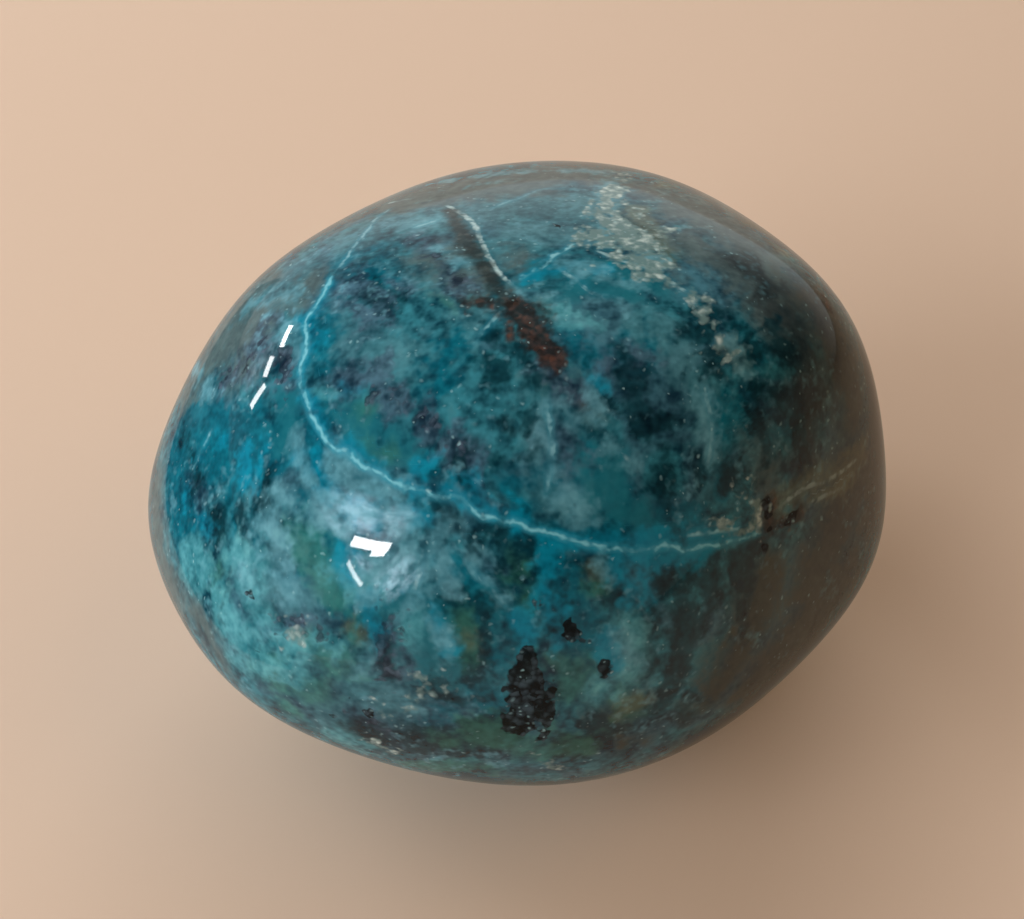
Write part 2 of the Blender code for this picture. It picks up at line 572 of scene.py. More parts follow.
# Strokes that wander over the sides that face away: how many, their reach in mm, and their length in mm.
AWAY_STROKES = {
    "haze": (12, (1.0, 2.2), (2.0, 6.0)),
    "grey_quartz": (7, (1.0, 2.0), (2.0, 6.0)),
    "smoke": (7, (0.6, 1.2), (2.0, 6.0)),
    "flank": (8, (1.2, 2.4), (2.0, 7.0)),
    "clear_teal": (10, (0.5, 1.1), (1.0, 4.0)),
    "sea": (20, (0.4, 0.9), (1.0, 4.0)),
    "violet": (14, (0.4, 0.8), (1.0, 4.0)),
    "shade": (24, (0.3, 0.9), (1.0, 4.0)),
    "moss": (14, (0.3, 0.7), (0.5, 2.0)),
    "ochre": (8, (0.3, 0.6), (0.5, 3.0)),
    "turquoise": (18, (0.3, 0.8), (0.5, 3.0)),
    "cyan": (18, (0.2, 0.4), (0.5, 3.0)),
    "milky": (16, (0.2, 0.5), (1.0, 4.0)),
    "umber": (3, (0.2, 0.4), (2.0, 5.0)),
    "rust": (5, (0.2, 0.35), (0.5, 3.0)),
    "plum": (10, (0.1, 0.4), (0.5, 3.0)),
    "oxide": (14, (0.12, 0.5), (0.2, 2.0)),
    "crust": (16, (0.12, 0.3), (0.5, 3.0)),
}
AWAY_SEED = 7
AWAY_STEP_MM = 0.8
AWAY_TURN = 0.3  # how much a route's heading changes at each step
AWAY_FACING = -0.15  # how much a route's start faces the camera, at most, from -1 to 1
GROWTH_SEED = 4
GROWTH_WARP = 0.35  # how far a first noise bends the clouds
STREAK_WARP = 2.0  # how many times as far it bends the streaks
BEDDING = (1.4, 0.85, 0.85)  # how closely the streaks lie along each axis
CLOUDS_APART, STREAKS_APART, OCTAVES_APART = 5.0, 31.0, 17.3  # shifts that keep noises unlike one another


class Vein(NamedTuple):
    """A thin bright seam: its tone from 0, cyan, to 1, white, its strength at the middle, and its route."""

    tone: float
    strength: float
    route: tuple


# Veins of one family keep well apart, so that each vertex is near one of them at most.
VEIN_FAMILIES = (
    (
        Vein(0.15, 1.0, (
            (336, 270), (319, 299), (305, 322), (308, 336), (304, 354),
            (300, 376), (308, 404), (314, 419), (324, 434), (338, 450), (352, 456), (363, 465), (377, 472),
            (390, 479), (401, 485), (416, 489), (440, 495), (460, 498), (473, 509), (487, 516), (507, 521),
            (520, 525), (536, 530), (563, 538), (595, 546), (619, 548), (646, 551), (667, 546), (689, 550),
            (708, 547), (726, 543), (748, 537), (766, 529),
        )),
        Vein(0.5, 0.55, ((394, 206), (376, 219), (363, 236), (346, 257), (334, 276))),
        Vein(0.9, 1.0, (
            (445, 204), (457, 211), (473, 223), (480, 238), (483, 246), (490, 258), (498, 271), (514, 287),
        )),
        Vein(0.3, 0.5, ((218, 418), (213, 428), (203, 446), (195, 466), (190, 480))),
        Vein(0.8, 0.6, ((610, 457), (618, 454), (627, 458), (638, 468))),
        Vein(0.6, 0.7, ((555, 268), (571, 276), (582, 286), (597, 294), (620, 295))),
        Vein(0.5, 0.4, ((466, 560), (480, 578), (498, 596), (520, 616))),
    ),
    (
        Vein(0.3, 0.8, ((512, 288), (520, 279), (531, 272), (544, 266), (555, 256), (569, 248), (582, 240))),
        Vein(1.0, 0.45, ((774, 516), (788, 500), (806, 488), (832, 478), (862, 454))),
        Vein(1.0, 0.40, ((800, 512), (818, 500), (848, 484))),
        Vein(0.4, 0.6, ((512, 304), (498, 313), (489, 324), (480, 335), (474, 345))),
        Vein(0.4, 0.7, ((674, 541), (684, 537), (700, 534), (721, 531), (750, 527))),
        Vein(0.4, 0.5, ((490, 210), (505, 203), (518, 199), (534, 192), (544, 189), (576, 189))),
        Vein(0.8, 0.6, ((376, 205), (390, 203), (402, 200), (416, 198))),
        Vein(0.5, 0.6, ((404, 231), (417, 227), (430, 223), (447, 216))),
        Vein(0.7, 0.5, ((428, 540), (421, 560), (418, 575), (413, 592), (409, 610))),
        Vein(0.7, 0.6, ((585, 246), (600, 252), (622, 261), (640, 266), (657, 273), (680, 288), (701, 297))),
        Vein(0.5, 0.5, ((545, 392), (548, 420), (553, 445), (549, 470), (545, 500))),
        Vein(0.6, 0.4, ((699, 380), (706, 400), (712, 428), (709, 455), (706, 478))),
    ),
)


# --------------------------------------------------------------------------------------------------
# Settings that a user would change


def linear(red, green, blue):
    """Scene-linear colour of a screen colour given in 0 to 255."""
    parts = (value / 255 for value in (red, green, blue))
    return tuple(part / 12.92 if part <= 0.04045 else ((part + 0.055) / 1.055) ** 2.4 for part in parts)


def colour(name, description, red, green, blue):
    """A colour that a user can change."""
    return bpy.props.FloatVectorProperty(
        name=name,
        description=description,
        subtype="COLOR",
        size=3,
        min=0.0,
        max=1.0,
        default=linear(red, green, blue),
    )


def length(name, description, default_mm):
    """A length that a user can change."""
    return bpy.props.FloatProperty(
        name=name, description=description, default=default_mm * MM, min=0.0, unit="LENGTH", precision=5
    )


class PebbleShape(bpy.types.PropertyGroup):
    """Sizes of the pebble's skin."""

    roundness: bpy.props.FloatProperty(
        name="Roundness", description="Power of the blend between worn faces", default=7.0, min=2.0, max=30.0
    )
    wave_height: length("Wave height", "How far the long waves of the polish stand in or out", 0.06)
    wave_length: length("Wave length", "Distance between the long waves of the polish", 7.0)
    foot_wear: length("Foot wear", "How much of the underside is worn away to a flat foot", 0.35)
    segments: bpy.props.IntProperty(
        name="Segments", description="Squares along each side of the globe's six panels", default=128, min=8,
        max=128,
    )
    cloud_size: length("Cloud size", "Distance between the clouds in the stone", 3.5)
    streak_size: length("Streak size", "Distance between the streaks in the stone", 1.2)


class PebbleColours(bpy.types.PropertyGroup):
    """Colours of the pebble's ground and minerals, each with a dark and a light tone. Some also paint
    reflection and shade.
    """

    ground_dark: colour("Ground, dark", "Deep tone of the teal ground", 4, 48, 64)
    ground_light: colour("Ground, light", "Pale tone of the teal ground", 58, 140, 156)
    slate_dark: colour("Slate, dark", "Deep tone of the slate-blue ground", 14, 44, 62)
    slate_light: colour("Slate, light", "Pale tone of the slate-blue ground", 74, 124, 142)
    # Smoky grey; on the right side it is also painted shade
    smoke_dark: colour("Smoke, dark", "Dark smoky quartz in its depth", 14, 26, 32)
    smoke_light: colour("Smoke, light", "Dark smoky quartz near the surface", 62, 72, 74)
    # Grey-teal haze; along the rims it is also a painted reflection
    haze_dark: colour("Haze, dark", "Grey-teal haze in its depth", 34, 92, 106)
    haze_light: colour("Haze, light", "Grey-teal haze near the surface", 96, 156, 168)
    # Grey quartz; along the rims it is also a painted reflection
    grey_quartz_dark: colour("Grey quartz, dark", "Grey quartz in its depth", 50, 70, 75)
    grey_quartz_light: colour("Grey quartz, light", "Grey quartz near the surface", 112, 132, 132)
    # Brown; on the right side and the bottom edge it is also a painted reflection of the shaded floor
    flank_dark: colour("Flank, dark", "Brown flank in its depth", 30, 36, 32)
    flank_light: colour("Flank, light", "Brown flank near the surface", 80, 80, 66)
    clear_teal_dark: colour("Clear teal, dark", "Cloudless teal in its depth", 8, 90, 106)
    clear_teal_light: colour("Clear teal, light", "Cloudless teal near the surface", 40, 124, 138)
    sea_dark: colour("Sea, dark", "Saturated teal in its depth", 0, 60, 78)
    sea_light: colour("Sea, light", "Saturated teal near the surface", 0, 124, 146)
    violet_dark: colour("Violet slate, dark", "Violet-grey grains in shadow", 18, 38, 56)
    violet_light: colour("Violet slate, light", "Violet-grey grains in light", 84, 112, 134)
    # Almost black teal; on the right side, along the bottom and near the left edge it is also painted shade
    shade_dark: colour("Shade, dark", "Almost black teal", 0, 18, 26)
    shade_light: colour("Shade, light", "Deep teal around it", 12, 68, 80)
    moss_dark: colour("Moss, dark", "Mossy green in its depth", 26, 76, 70)
    moss_light: colour("Moss, light", "Mossy green near the surface", 66, 134, 112)
    ochre_dark: colour("Ochre, dark", "Ochre in its depth", 76, 86, 70)
    ochre_light: colour("Ochre, light", "Ochre near the surface", 126, 130, 102)
    turquoise_dark: colour("Turquoise, dark", "Pale turquoise in its depth", 44, 130, 144)
    turquoise_light: colour("Turquoise, light", "Pale turquoise near the surface", 116, 194, 204)
    # Bright cyan; one stroke beside the window glint is a painted reflection of blue sky
    cyan_dark: colour("Cyan, dark", "Bright cyan in its depth", 0, 104, 132)
    cyan_light: colour("Cyan, light", "Bright cyan near the surface", 4, 150, 180)
    # Milky quartz; around the window glint it is also a painted reflection of the sky
    milky_dark: colour("Milky, dark", "Milky quartz in its depth", 56, 122, 138)
    milky_light: colour("Milky, light", "Milky quartz near the surface", 128, 190, 206)
    umber_dark: colour("Umber, dark", "Dark umber grains", 42, 48, 47)
    umber_light: colour("Umber, light", "Light umber grains", 84, 88, 84)
    rust_dark: colour("Rust, dark", "Dark iron grains", 38, 32, 28)
    rust_light: colour("Rust, light", "Iron red grains", 98, 62, 46)
    plum_dark: colour("Plum, dark", "Dark plum grains", 22, 30, 46)
    plum_light: colour("Plum, light", "Pale plum grains", 84, 100, 118)
    oxide_dark: colour("Oxide, dark", "Black oxide", 2, 6, 9)
    oxide_light: colour("Oxide, light", "Grey grains in the oxide", 62, 78, 88)
    crust_dark: colour("Crust, dark", "Pale crust in its hollows", 106, 136, 136)
    crust_light: colour("Crust, light", "Pale crust on its crests", 220, 238, 234)
    puff: colour("Puffs", "Milky puffs all through the stone", 120, 186, 204)
    hollow: colour("Hollows", "Deep clear spots between the puffs", 0, 40, 58)
    vein_halo: colour("Vein halo", "Deep cyan along a seam", 0, 112, 140)
    vein_cyan: colour("Vein, cyan", "Thin cyan seams", 104, 192, 210)
    vein_white: colour("Vein, white", "Thin white seams", 196, 224, 226)
    vein_glow: colour("Vein glow", "Milky cyan beside a seam", 58, 158, 182)
    speck: colour("Specks", "Tiny pale grains", 164, 212, 220)


class PebbleStage(bpy.types.PropertyGroup):
    """Camera, lights and floor."""

    view_rise: bpy.props.FloatProperty(
        name="View rise", description="Angle at which the camera looks down", default=math.radians(48),
        subtype="ANGLE",
    )
    view_distance: length("View distance", "From the camera to the point that it looks at", 51.37)
    aim: bpy.props.FloatVectorProperty(
        name="Aim", description="Point that the camera looks at", size=3,
        default=(-0.00045, -0.00104, 0.01104),
        subtype="XYZ", unit="LENGTH", precision=5,
    )
    lens: bpy.props.FloatProperty(
        name="Lens", description="Focal length in millimetres", default=45.0, min=10.0
    )
    floor_colour: colour("Floor", "Plain pale floor", 225, 200, 179)
    floor_width: length("Floor width", "Side of the square floor", 900.0)
    card_foot: bpy.props.FloatVectorProperty(
        name="Card, near end", description="Where the dark card starts", size=2, default=(-0.040, -0.045),
        unit="LENGTH", precision=5,
    )
    card_far: bpy.props.FloatVectorProperty(
        name="Card, far end", description="Where the dark card ends", size=2, default=(-0.058, 0.080),
        unit="LENGTH", precision=5,
    )
    card_height: length("Card height", "How high the dark card stands", 22.0)
    light_level: bpy.props.FloatProperty(
        name="Light level", description="Scales the power of every soft lamp", default=1.0, min=0.0
    )
    window_colour: colour("Window light", "Light from the windows", 255, 255, 255)
    room_colour: colour("Room light", "Warm light thrown back by the room", 255, 208, 145)
    wall_colour: colour("Back wall", "Wall behind the stone that the polish mirrors", 244, 238, 232)
    side_colour: colour("Side walls", "Walls at the sides that the polish mirrors", 172, 150, 128)
    dim_colour: colour("Dim room", "Rest of the room that the polish mirrors", 62, 66, 72)
    wall_top: bpy.props.FloatProperty(
        name="Wall top", description="Sine of the angle at which the walls end", default=0.45, min=0.0,
        max=1.0,
    )
    glint: bpy.props.FloatProperty(
        name="Glint", description="Brightness of the window panes that the polish mirrors", default=45.0,
        min=0.0,
    )
    sky_colour: colour("Sky", "Sky seen through the mirrored window", 200, 228, 244)
    sky_glint: bpy.props.FloatProperty(
        name="Sky glint", description="Brightness of the sky that the polish mirrors", default=14.0, min=0.0
    )


class Softbox(NamedTuple):
    """A large lamp that gives soft light and isn't mirrored in the polish."""

    name: str
    compass: float
    rise: float
    away_mm: float
    width_mm: float
    height_mm: float
    watts: float
    of_room: bool  # whether it has the room's warm colour or the windows'


# Which lamps there are, their powers and the room's colour come from a least-squares fit of the light on the
# floor, rounded. The ceiling's power was then raised.
SOFTBOXES = (
    Softbox("window behind", 90, 25, 600, 500, 400, 1.92, False),
    Softbox("window left", 180, 35, 500, 400, 400, 0.62, False),
    Softbox("window front left", -150, 20, 500, 400, 300, 1.90, False),
    Softbox("window back left", 150, 45, 300, 150, 150, 0.22, False),
    Softbox("ceiling", 150, 80, 900, 1200, 1200, 0.80, True),
    Softbox("wall right", 0, 45, 600, 500, 500, 0.68, True),
)


class Pane(NamedTuple):
    """A window pane that shows only in the polish, square to a line from the stone's middle."""

    compass: float
    rise: float
    across_mm: float  # its middle's shift to the right, seen from the stone
    up_mm: float  # and upward
    length_mm: float
    height_mm: float
    turn: float  # in degrees
    share: float = 1.0  # of the glint, or of the sky's
    sky: bool = False  # whether it shows cloudy sky, or a bare bright pane


PANE_DISTANCE = 0.3
# Compass, rise and most shifts were computed by mirroring the corners of the glints in the polish. Lengths,
# heights and turns were read off those mirrored corners and then adjusted.
PANES = (
    Pane(-131.7, 34.8, -2.0, 1.0, 64, 9, 6),
    Pane(-131.7, 34.8, 18.0, -2.6, 22, 7, 10),
    Pane(-131.6, 29.5, 2.8, -2.1, 50, 4.5, -23, 0.5),
    Pane(148.1, 24.5, 6.5, 4.1, 43, 8, -7, 0.7),
    Pane(158.0, 20.1, 6.5, 3.7, 29, 9, -23, 0.5),
    Pane(164.2, 16.9, 6.6, 3.4, 28, 8, -62, 0.5),
    Pane(-141.4, 38.0, 4, -2, 170, 40, 13, 0.8, sky=True),
    Pane(-116.9, 29.6, 1, -2, 66, 56, -30, 0.8, sky=True),
    Pane(-132.2, 32.2, 3, -2, 60, 14, -5, 0.6, sky=True),
    Pane(-130.0, 34.0, 0, 0, 340, 220, 0, 0.03, sky=True),
    Pane(151.5, 20.8, 6.5, 4.1, 66, 50, 0, 0.15, sky=True),
    Pane(157.2, 15.7, 6.6, 3.9, 56, 34, -10, 0.2, sky=True),
)


# --------------------------------------------------------------------------------------------------
# Geometry


def direction(compass_deg, rise_deg):
    """The unit vector at this compass angle from +X and this angle above the horizon."""
    compass, rise = math.radians(compass_deg), math.radians(rise_deg)
    level = math.cos(rise)
    return Vector((level * math.cos(compass), level * math.sin(compass), math.sin(rise)))


def globe(name, segments):
    """A mesh of six square grids spread evenly over a unit globe."""
    grid = bmesh.new()
    bmesh.ops.create_cube(grid, size=2.0)
    bmesh.ops.subdivide_edges(grid, edges=grid.edges[:], cuts=segments - 1, use_grid_fill=True)
    for vertex in grid.verts:
        vertex.co = Vector(math.tan(value * math.pi / 4) for value in vertex.co).normalized()
    mesh = bpy.data.meshes.new(name)
    grid.to_mesh(mesh)
    grid.free()
    return mesh


def vectors_of(rows, key):
    """The vectors that a mesh keeps under this key, one to a row."""
    values = np.empty(len(rows) * 3, np.float32)
    rows.foreach_get(key, values)
    return values.reshape(-1, 3).astype(float)


def set_points(mesh, points):
    """Moves every vertex to its new place."""
    mesh.vertices.foreach_set("co", points.astype(np.float32).ravel())
    mesh.update()


def worn_surface(ways, shape):
    """The stone's surface along unit vectors from its middle: a smooth minimum over the worn faces."""
    normals = np.array([direction(compass, rise) for _, compass, rise, _ in WORN_FACES])
    distances = np.array([distance * MM for *_, distance in WORN_FACES])
    facing = np.maximum(ways @ normals.T, 0.0) / distances
    radius = (facing**shape.roundness).sum(axis=1) ** (-1.0 / shape.roundness)
    places = ways * (radius / shape.wave_length)[:, None]
    waves = [noise.noise(Vector(place)) for place in places]
    return ways * (radius + shape.wave_height * np.array(waves))[:, None]


def stand_in_box(points, foot_wear):
    """Wears the foot flat, and fits the points to the solid stone's box, from which they differ by a hair."""
    points[:, 2] = np.maximum(points[:, 2], points[:, 2].min() + foot_wear)
    low, high = points.min(axis=0), points.max(axis=0)
    size = np.array(STONE_HIGH) - np.array(STONE_LOW)
    return np.array(STONE_LOW) + (points - low) / (high - low) * size


class Camera(NamedTuple):
    """The camera's place and its axes, for finding what lies under a picture place."""

    place: Vector
    right: Vector
    up: Vector
    back: Vector
    pixels: float  # of the picture for a slope of 1

    def ray(self, x, y):
        """The direction of sight through a picture place."""
        across = (x - PICTURE_WIDTH / 2) / self.pixels
        rise = (PICTURE_HEIGHT / 2 - y) / self.pixels
        return (self.right * across + self.up * rise - self.back).normalized()


def view_camera(stage):
    """The camera in front of the stone, level and looking down at its aim."""
    back = direction(-90, math.degrees(stage.view_rise))
    right = Vector((1, 0, 0))
    place = Vector(stage.aim) + back * stage.view_distance
    return Camera(place, right, back.cross(right), back, stage.lens / SENSOR_MM * PICTURE_WIDTH)


OUTSIDE = 0.1  # a distance from the middle that is well outside the stone


class Skin:
    """The pebble's surface, on which routes are laid."""

    def __init__(self, mesh, camera):
        mesh.calc_loop_triangles()
        self.points = vectors_of(mesh.vertices, "co")
        self.normals = vectors_of(mesh.vertex_normals, "vector")
        corners = [tuple(face.vertices) for face in mesh.polygons]
        self.tree = BVHTree.FromPolygons([tuple(point) for point in self.points], corners)
        self.camera = camera
        self.middle = Vector((STONE_LOW + STONE_HIGH) / 2)

    def seen(self, x, y):
        """The surface point under a picture place, or the nearest one where the place is off the stone."""
        way = self.camera.ray(x, y)
        hit, *_ = self.tree.ray_cast(self.camera.place, way)
        if hit is None:
            past = self.camera.place + way * (self.middle - self.camera.place).dot(way)
            hit, *_ = self.tree.find_nearest(past)
        return np.array(hit)

    def outward(self, way):
        """The surface point in a direction from the middle."""
        hit, *_ = self.tree.ray_cast(self.middle + Vector(way) * OUTSIDE, -Vector(way))
        return np.array(hit)

    def snapped(self, point):
        """The surface point nearest to a point."""
        hit, *_ = self.tree.find_nearest(Vector(point))
        return np.array(hit)


STROKE_MARGIN_MM = 1.5  # how far outside a stroke its depth is still worked out


def deepen(field, points, route, reach_mm):
    """Raises a field to how deep each point lies in a stroke: its reach less the distance to its route."""
    route = np.array(route)
    room = (reach_mm + STROKE_MARGIN_MM) * MM
    low, high = route.min(axis=0) - room, route.max(axis=0) + room
    near = np.flatnonzero(((points > low) & (points < high)).all(axis=1))
    places = points[near]
    nearest = np.full(len(near), np.inf)
    for start, end in zip(route[:-1], route[1:], strict=True):
        along = end - start
        share = np.clip((places - start) @ along / (along @ along), 0.0, 1.0)
        gap = places - start - share[:, None] * along
        nearest = np.minimum(nearest, np.einsum("ij,ij->i", gap, gap))
    field[near] = np.maximum(field[near], reach_mm - np.sqrt(nearest) / MM)


def away_route(skin, dice, length_mm):
    """A wandering route over the sides that the camera doesn't see."""
    towards = np.array(skin.camera.back)
    while True:
        way = dice.normal(size=3)
        way /= np.linalg.norm(way)
        if way @ towards < AWAY_FACING:
            break
    heading = np.cross(way, dice.normal(size=3))
    heading /= np.linalg.norm(heading)
    route = [skin.outward(way)]
    for _ in range(1 + int(length_mm / AWAY_STEP_MM)):
        heading += dice.normal(size=3) * AWAY_TURN
        heading /= np.linalg.norm(heading)
        stop = skin.snapped(route[-1] + heading * AWAY_STEP_MM * MM)
        if (stop - np.array(skin.middle)) @ towards > 0:
            break
        route.append(stop)
    return route


def mineral_fields(skin):
    """For each mineral, how deep inside it each vertex lies, in mm."""
    dice = np.random.default_rng(AWAY_SEED)
    fields = {}
    for mineral in MINERALS:
        field = np.full(len(skin.points), -STROKE_MARGIN_MM)
        for reach_mm, *places in SEEN_STROKES[mineral.name]:
            deepen(field, skin.points, [skin.seen(*place) for place in places], reach_mm)
        count, reaches, lengths = AWAY_STROKES[mineral.name]
        for _ in range(count):
            deepen(field, skin.points, away_route(skin, dice, dice.uniform(*lengths)), dice.uniform(*reaches))
        fields[mineral.name] = field
    return fields


def smooth_route(stops, spacing):
    """Points at an even spacing on a smooth curve through the stops."""
    stops = np.array(stops)
    padded = np.vstack([2 * stops[0] - stops[1], stops, 2 * stops[-1] - stops[-2]])
    route = []
    for before, start, end, after in zip(padded, padded[1:], padded[2:], padded[3:]):
        count = max(int(np.linalg.norm(end - start) / spacing), 1)
        for step in range(count):
            t = step / count
            route.append(
                0.5 * (2 * start + (end - before) * t + (2 * before - 5 * start + 4 * end - after) * t**2
                       + (3 * start - before - 3 * end + after) * t**3)
            )
    route.append(stops[-1])
    return np.array(route)


VEIN_REACH_MM = 0.8  # how far from its route a vein is felt at all
VEIN_FADE_MM = 0.3  # over which it fades at that reach
VEIN_TAPER_MM = 0.6  # over which its ends thin out
VEIN_SPACING_MM = 0.08


def vein_field(skin, veins):
    """For each vertex, how far across the nearest vein it lies in mm, and that vein's strength and tone."""
    found = np.tile((VEIN_REACH_MM, 0.0, 0.0), (len(skin.points), 1))
    nearest = np.full(len(skin.points), VEIN_REACH_MM)
    for vein in veins:
        stops = [skin.seen(*place) for place in vein.route]
        route = smooth_route(stops, VEIN_SPACING_MM * MM)
        ways = np.gradient(route, axis=0)
        ways /= np.linalg.norm(ways, axis=1)[:, None]
        walked = np.arange(len(route)) * VEIN_SPACING_MM
        low, high = route.min(axis=0) - VEIN_REACH_MM * MM, route.max(axis=0) + VEIN_REACH_MM * MM
        near = np.flatnonzero(((skin.points > low) & (skin.points < high)).all(axis=1))
        gaps = skin.points[near][:, None, :] - route[None, :, :]
        squares = np.einsum("ijk,ijk->ij", gaps, gaps)
        closest = squares.argmin(axis=1)
        away = np.sqrt(squares.min(axis=1)) / MM
        gap = gaps[np.arange(len(near)), closest]
        across = np.cross(ways[closest], skin.normals[near])
        signed = np.where(np.einsum("ij,ij->i", gap, across) < 0, -away, away)
        from_end = np.minimum(walked[closest], walked[-1] - walked[closest])
        fade = np.clip(from_end / VEIN_TAPER_MM, 0, 1) * np.clip((VEIN_REACH_MM - away) / VEIN_FADE_MM, 0, 1)
        closer = away < nearest[near]
        chosen = near[closer]
        nearest[chosen] = away[closer]
        found[chosen, 0] = signed[closer]
        found[chosen, 1] = (vein.strength * fade)[closer]
        found[chosen, 2] = vein.tone
    return found


def rough_noise(points, octaves):
    """Three noises at each point, with a spread of 1. Each octave is half as wide and high as the last."""
    total = np.zeros((len(points), 3))
    for octave in range(octaves):
        scaled = points * 2.0**octave + octave * OCTAVES_APART
        total += np.array([noise.noise_vector(Vector(point)) for point in scaled]) / 2.0**octave
    return total / total.std(axis=0)


def growth(points, shape):
    """The stone's slow changes: clouds, and streaks drawn out along its bedding."""
    noise.seed_set(GROWTH_SEED)
    warp = rough_noise(points / shape.cloud_size, 2) * GROWTH_WARP
    clouds = rough_noise(points / shape.cloud_size + warp + CLOUDS_APART, 3)
    drawn_out = points * np.array(BEDDING)
    streaks = rough_noise(drawn_out / shape.streak_size + warp * STREAK_WARP + STREAKS_APART, 4)
    return clouds, streaks


def store_float(mesh, name, values):
    """Keeps a number at each vertex."""
    layer = mesh.attributes.new(name, "FLOAT", "POINT")
    layer.data.foreach_set("value", values.astype(np.float32))


def store_vector(mesh, name, values):
    """Keeps three numbers at each vertex."""
    layer = mesh.attributes.new(name, "FLOAT_VECTOR", "POINT")
    layer.data.foreach_set("vector", values.astype(np.float32).ravel())


# --------------------------------------------------------------------------------------------------
# Shader maths


class Wire:
    """One output of a shader tree. Arithmetic on it adds Math nodes."""

    def __init__(self, tree, socket):
        self.tree = tree
        self.socket = socket

    def math(self, operation, *values):
        return node(self.tree, "ShaderNodeMath", {"operation": operation}, dict(enumerate(values)))

    def __add__(self, other):
        return self.math("ADD", self, other)

    def __radd__(self, other):
        return self.math("ADD", other, self)

    def __sub__(self, other):
        return self.math("SUBTRACT", self, other)

    def __rsub__(self, other):
        return self.math("SUBTRACT", other, self)

    def __mul__(self, other):
        return self.math("MULTIPLY", self, other)

    def __rmul__(self, other):
        return self.math("MULTIPLY", other, self)

    def __abs__(self):
        return self.math("ABSOLUTE", self)

    def rise(self, low, high, result_low=0.0, result_high=1.0):
        """A smooth step from result_low to result_high as this goes from low to high."""
        values = {"Value": self, "From Min": low, "From Max": high}
        values.update({"To Min": result_low, "To Max": result_high})
        return node(self.tree, "ShaderNodeMapRange", {"interpolation_type": "SMOOTHSTEP"}, values)

    def parts(self):
        """The three numbers of a colour or a vector."""
        split = node(self.tree, "ShaderNodeSeparateXYZ", {}, {"Vector": self}).socket.node
        return [Wire(self.tree, output) for output in split.outputs]


def node(tree, kind, settings, values, output=0):
    """Adds a node of this kind, sets it up, fills its sockets with values or links, and returns an output."""
    made = tree.nodes.new(kind)
    for key, setting in settings.items():
        setattr(made, key, setting)
    for key, value in values.items():
        socket = made.inputs[key]
        if isinstance(value, Wire):
            tree.links.new(value.socket, socket)
        else:
            socket.default_value = value
    return Wire(tree, made.outputs[output])


def mixed(tree, factor, first, second):
    """A colour between two, by a factor from 0 to 1."""
    return node(tree, "ShaderNodeMix", {"data_type": "RGBA"}, {0: factor, 6: first, 7: second}, output=2)


def mixed_number(tree, factor, first, second):
    """A number between two, by a factor from 0 to 1."""
    return node(tree, "ShaderNodeMix", {"data_type": "FLOAT"}, {0: factor, 2: first, 3: second})


def number(tree, name):
    """A number kept at the vertices."""
    return node(tree, "ShaderNodeAttribute", {"attribute_name": name}, {}, output="Fac")


def triple(tree, name):
    """Three numbers kept at the vertices."""
    return node(tree, "ShaderNodeAttribute", {"attribute_name": name}, {}, output="Vector").parts()


def opaque(value):
    """A colour with its alpha of 1, as sockets take it."""
    return (*value, 1.0)


def blend_toward(tree, tones, mask, dark, light):
    """Takes the pair of dark and light tones towards another pair, by a mask from 0 to 1."""
    return [mixed(tree, mask, tone, opaque(other)) for tone, other in zip(tones, (dark, light), strict=True)]


COARSE_FRAY = 0.55  # shares of a mineral's fray that the streaks and the grain each make
FINE_FRAY = 0.30


def mineral_mask(tree, mineral, coarse, fine):
    """How much of what lies under it a mineral hides here, from 0 to its cover."""
    fray = mineral.fray_mm
    frayed = number(tree, mineral.name) + coarse * (fray * COARSE_FRAY) + fine * (fray * FINE_FRAY)
    return frayed.rise(-0.5 * mineral.softness_mm, 0.5 * mineral.softness_mm, 0.0, mineral.cover)


def tones_of(mineral, colours):
    """The dark and the light tone of a mineral."""
    return [getattr(colours, f"{mineral.name}_{depth}") for depth in ("dark", "light")]


class Rock(NamedTuple):
    """What varies all through the stone, from coarse to fine."""

    clouds: list  # three noises, centred on 0 with a spread of 1
    streaks: list
    grain: list
    to_middle: Wire  # distance to the middle of the nearest crystal
    chance: Wire  # three random numbers of that crystal, from 0 to 1
    size: Wire
    facet: Wire


GRAINS_PER_MM = 3.2
GRAIN_GAIN = 8.0  # brings the fine noise to about the spread of the clouds and streaks
CRYSTALS_PER_MM = 4.0
CRYSTAL_BEND_MM = 0.24  # how far the grain moves the crystals' edges


def grown_rock(tree, in_mm):
    """The noises kept at the vertices, and the grain and crystals that are finer than the mesh."""
    values = {"Vector": in_mm, "Scale": GRAINS_PER_MM, "Detail": 1.0, "Roughness": 0.5}
    noises = node(tree, "ShaderNodeTexNoise", {}, values, output="Color")
    grain = [(part - 0.5) * GRAIN_GAIN for part in noises.parts()]
    values = {0: noises, 1: (CRYSTAL_BEND_MM,) * 3, 2: in_mm}
    bent = node(tree, "ShaderNodeVectorMath", {"operation": "MULTIPLY_ADD"}, values)
    crystals = node(tree, "ShaderNodeTexVoronoi", {}, {"Vector": bent, "Scale": CRYSTALS_PER_MM}).socket.node
    to_middle = Wire(tree, crystals.outputs["Distance"])
    chances = Wire(tree, crystals.outputs["Color"]).parts()
    return Rock(triple(tree, "clouds"), triple(tree, "streaks"), grain, to_middle, *chances)


def ground_tones(tree, rock, colours):
    """The dark and light tone between the minerals: teal, and slate in some clouds."""
    tones = [opaque(colours.ground_dark), opaque(colours.ground_light)]
    slate = rock.clouds[1].rise(-0.4, 1.4, 0.0, 0.85)
    return blend_toward(tree, tones, slate, colours.slate_dark, colours.slate_light)


